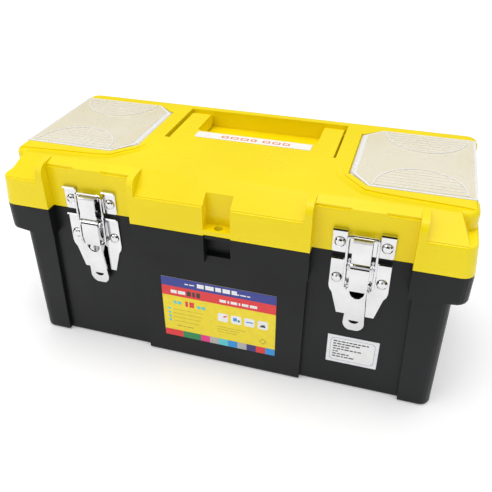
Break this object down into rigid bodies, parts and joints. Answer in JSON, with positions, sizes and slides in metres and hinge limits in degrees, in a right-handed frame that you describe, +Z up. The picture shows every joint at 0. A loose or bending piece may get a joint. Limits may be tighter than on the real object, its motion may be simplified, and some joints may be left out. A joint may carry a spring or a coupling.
{
  "type": "toolbox with tray",
  "caption": "Long plastic toolbox with a lift-out tray, a hinged lid with see-through organiser bins, a fold-flat handle and two toggle latches.",
  "frame": {"origin": "centre of the base, on the surface that it stands on", "axes": "+X along the length to the right seen from the front, -Y is the front with the latches, +Z up"},
  "size_m": [0.3752, 0.167, 0.1766],
  "materials": {
    "yellow_plastic": "moulded polypropylene, satin gloss",
    "black_plastic": "moulded polypropylene with a fine grain",
    "tray_plastic": "moulded polypropylene, satin",
    "frosted_plastic": "frosted see-through polypropylene",
    "chrome": "bright plated pressed steel and wire",
    "steel": "plain steel rod",
    "front_sticker": "printed vinyl sticker",
    "data_sticker": "printed paper sticker",
    "strip_sticker": "printed vinyl sticker"
  },
  "bodies": {
    "tub": {"tub": "black_plastic", "lid_hinge_pin_left": "steel", "latch_base_left": "chrome", "latch_pivot_pin_left": "chrome", "base_rivet_left_outer": "chrome", "base_rivet_left_inner": "chrome", "lid_hinge_pin_right": "steel", "latch_base_right": "chrome", "latch_pivot_pin_right": "chrome", "base_rivet_right_outer": "chrome", "base_rivet_right_inner": "chrome", "front_label": "front_sticker", "data_label": "data_sticker"},
    "lid": {"lid": "yellow_plastic", "latch_keeper_left": "chrome", "keeper_rivet_left_outer": "chrome", "keeper_rivet_left_inner": "chrome", "handle_pin_left": "yellow_plastic", "latch_keeper_right": "chrome", "keeper_rivet_right_outer": "chrome", "keeper_rivet_right_inner": "chrome", "handle_pin_right": "yellow_plastic"},
    "handle": {"carrying_handle": "yellow_plastic", "handle_label": "strip_sticker"},
    "cover_left": {"organiser_cover_left": "frosted_plastic"},
    "lever_left": {"latch_lever_left": "chrome", "latch_spring_left_outer": "chrome", "latch_spring_left_inner": "chrome"},
    "bail_left": {"latch_bail_left": "chrome"},
    "cover_right": {"organiser_cover_right": "frosted_plastic"},
    "lever_right": {"latch_lever_right": "chrome", "latch_spring_right_outer": "chrome", "latch_spring_right_inner": "chrome"},
    "bail_right": {"latch_bail_right": "chrome"},
    "tray": {"tray": "tray_plastic"}
  },
  "joints": [
    {"name": "lid_hinge", "type": "hinge", "parent": "tub", "child": "lid", "pos_m": [0, 0.081, 0.1354], "axis": [-1, 0, 0], "range_deg": [0, 105]},
    {"name": "handle_fold", "type": "hinge", "parent": "lid", "child": "handle", "pos_m": [0, 0.0605, 0.1675], "axis": [-1, 0, 0], "range_deg": [0, 90]},
    {"name": "tray_lift", "type": "slide", "parent": "tub", "child": "tray", "axis": [0, 0, 1], "range_m": [0, 0.018]},
    {"name": "cover_left_hinge", "type": "hinge", "parent": "lid", "child": "cover_left", "pos_m": [-0.0905, 0, 0.1738], "axis": [0, 1, 0], "range_deg": [0, 100]},
    {"name": "lever_left_swing", "type": "hinge", "parent": "tub", "child": "lever_left", "pos_m": [-0.1092, -0.0782, 0.127], "axis": [-1, 0, 0], "range_deg": [0, 115]},
    {"name": "bail_left_swing", "type": "hinge", "parent": "lever_left", "child": "bail_left", "pos_m": [-0.1092, -0.0786, 0.109], "axis": [1, 0, 0], "range_deg": [0, 150]},
    {"name": "cover_right_hinge", "type": "hinge", "parent": "lid", "child": "cover_right", "pos_m": [0.0905, 0, 0.1738], "axis": [0, -1, 0], "range_deg": [0, 100]},
    {"name": "lever_right_swing", "type": "hinge", "parent": "tub", "child": "lever_right", "pos_m": [0.1092, -0.0782, 0.127], "axis": [-1, 0, 0], "range_deg": [0, 115]},
    {"name": "bail_right_swing", "type": "hinge", "parent": "lever_right", "child": "bail_right", "pos_m": [0.1092, -0.0786, 0.109], "axis": [1, 0, 0], "range_deg": [0, 150]}
  ],
  "couplings": [
    {"joint": "bail_left_swing", "follows": "lever_left_swing", "ratio": 1.3},
    {"joint": "bail_right_swing", "follows": "lever_right_swing", "ratio": 1.3}
  ]
}
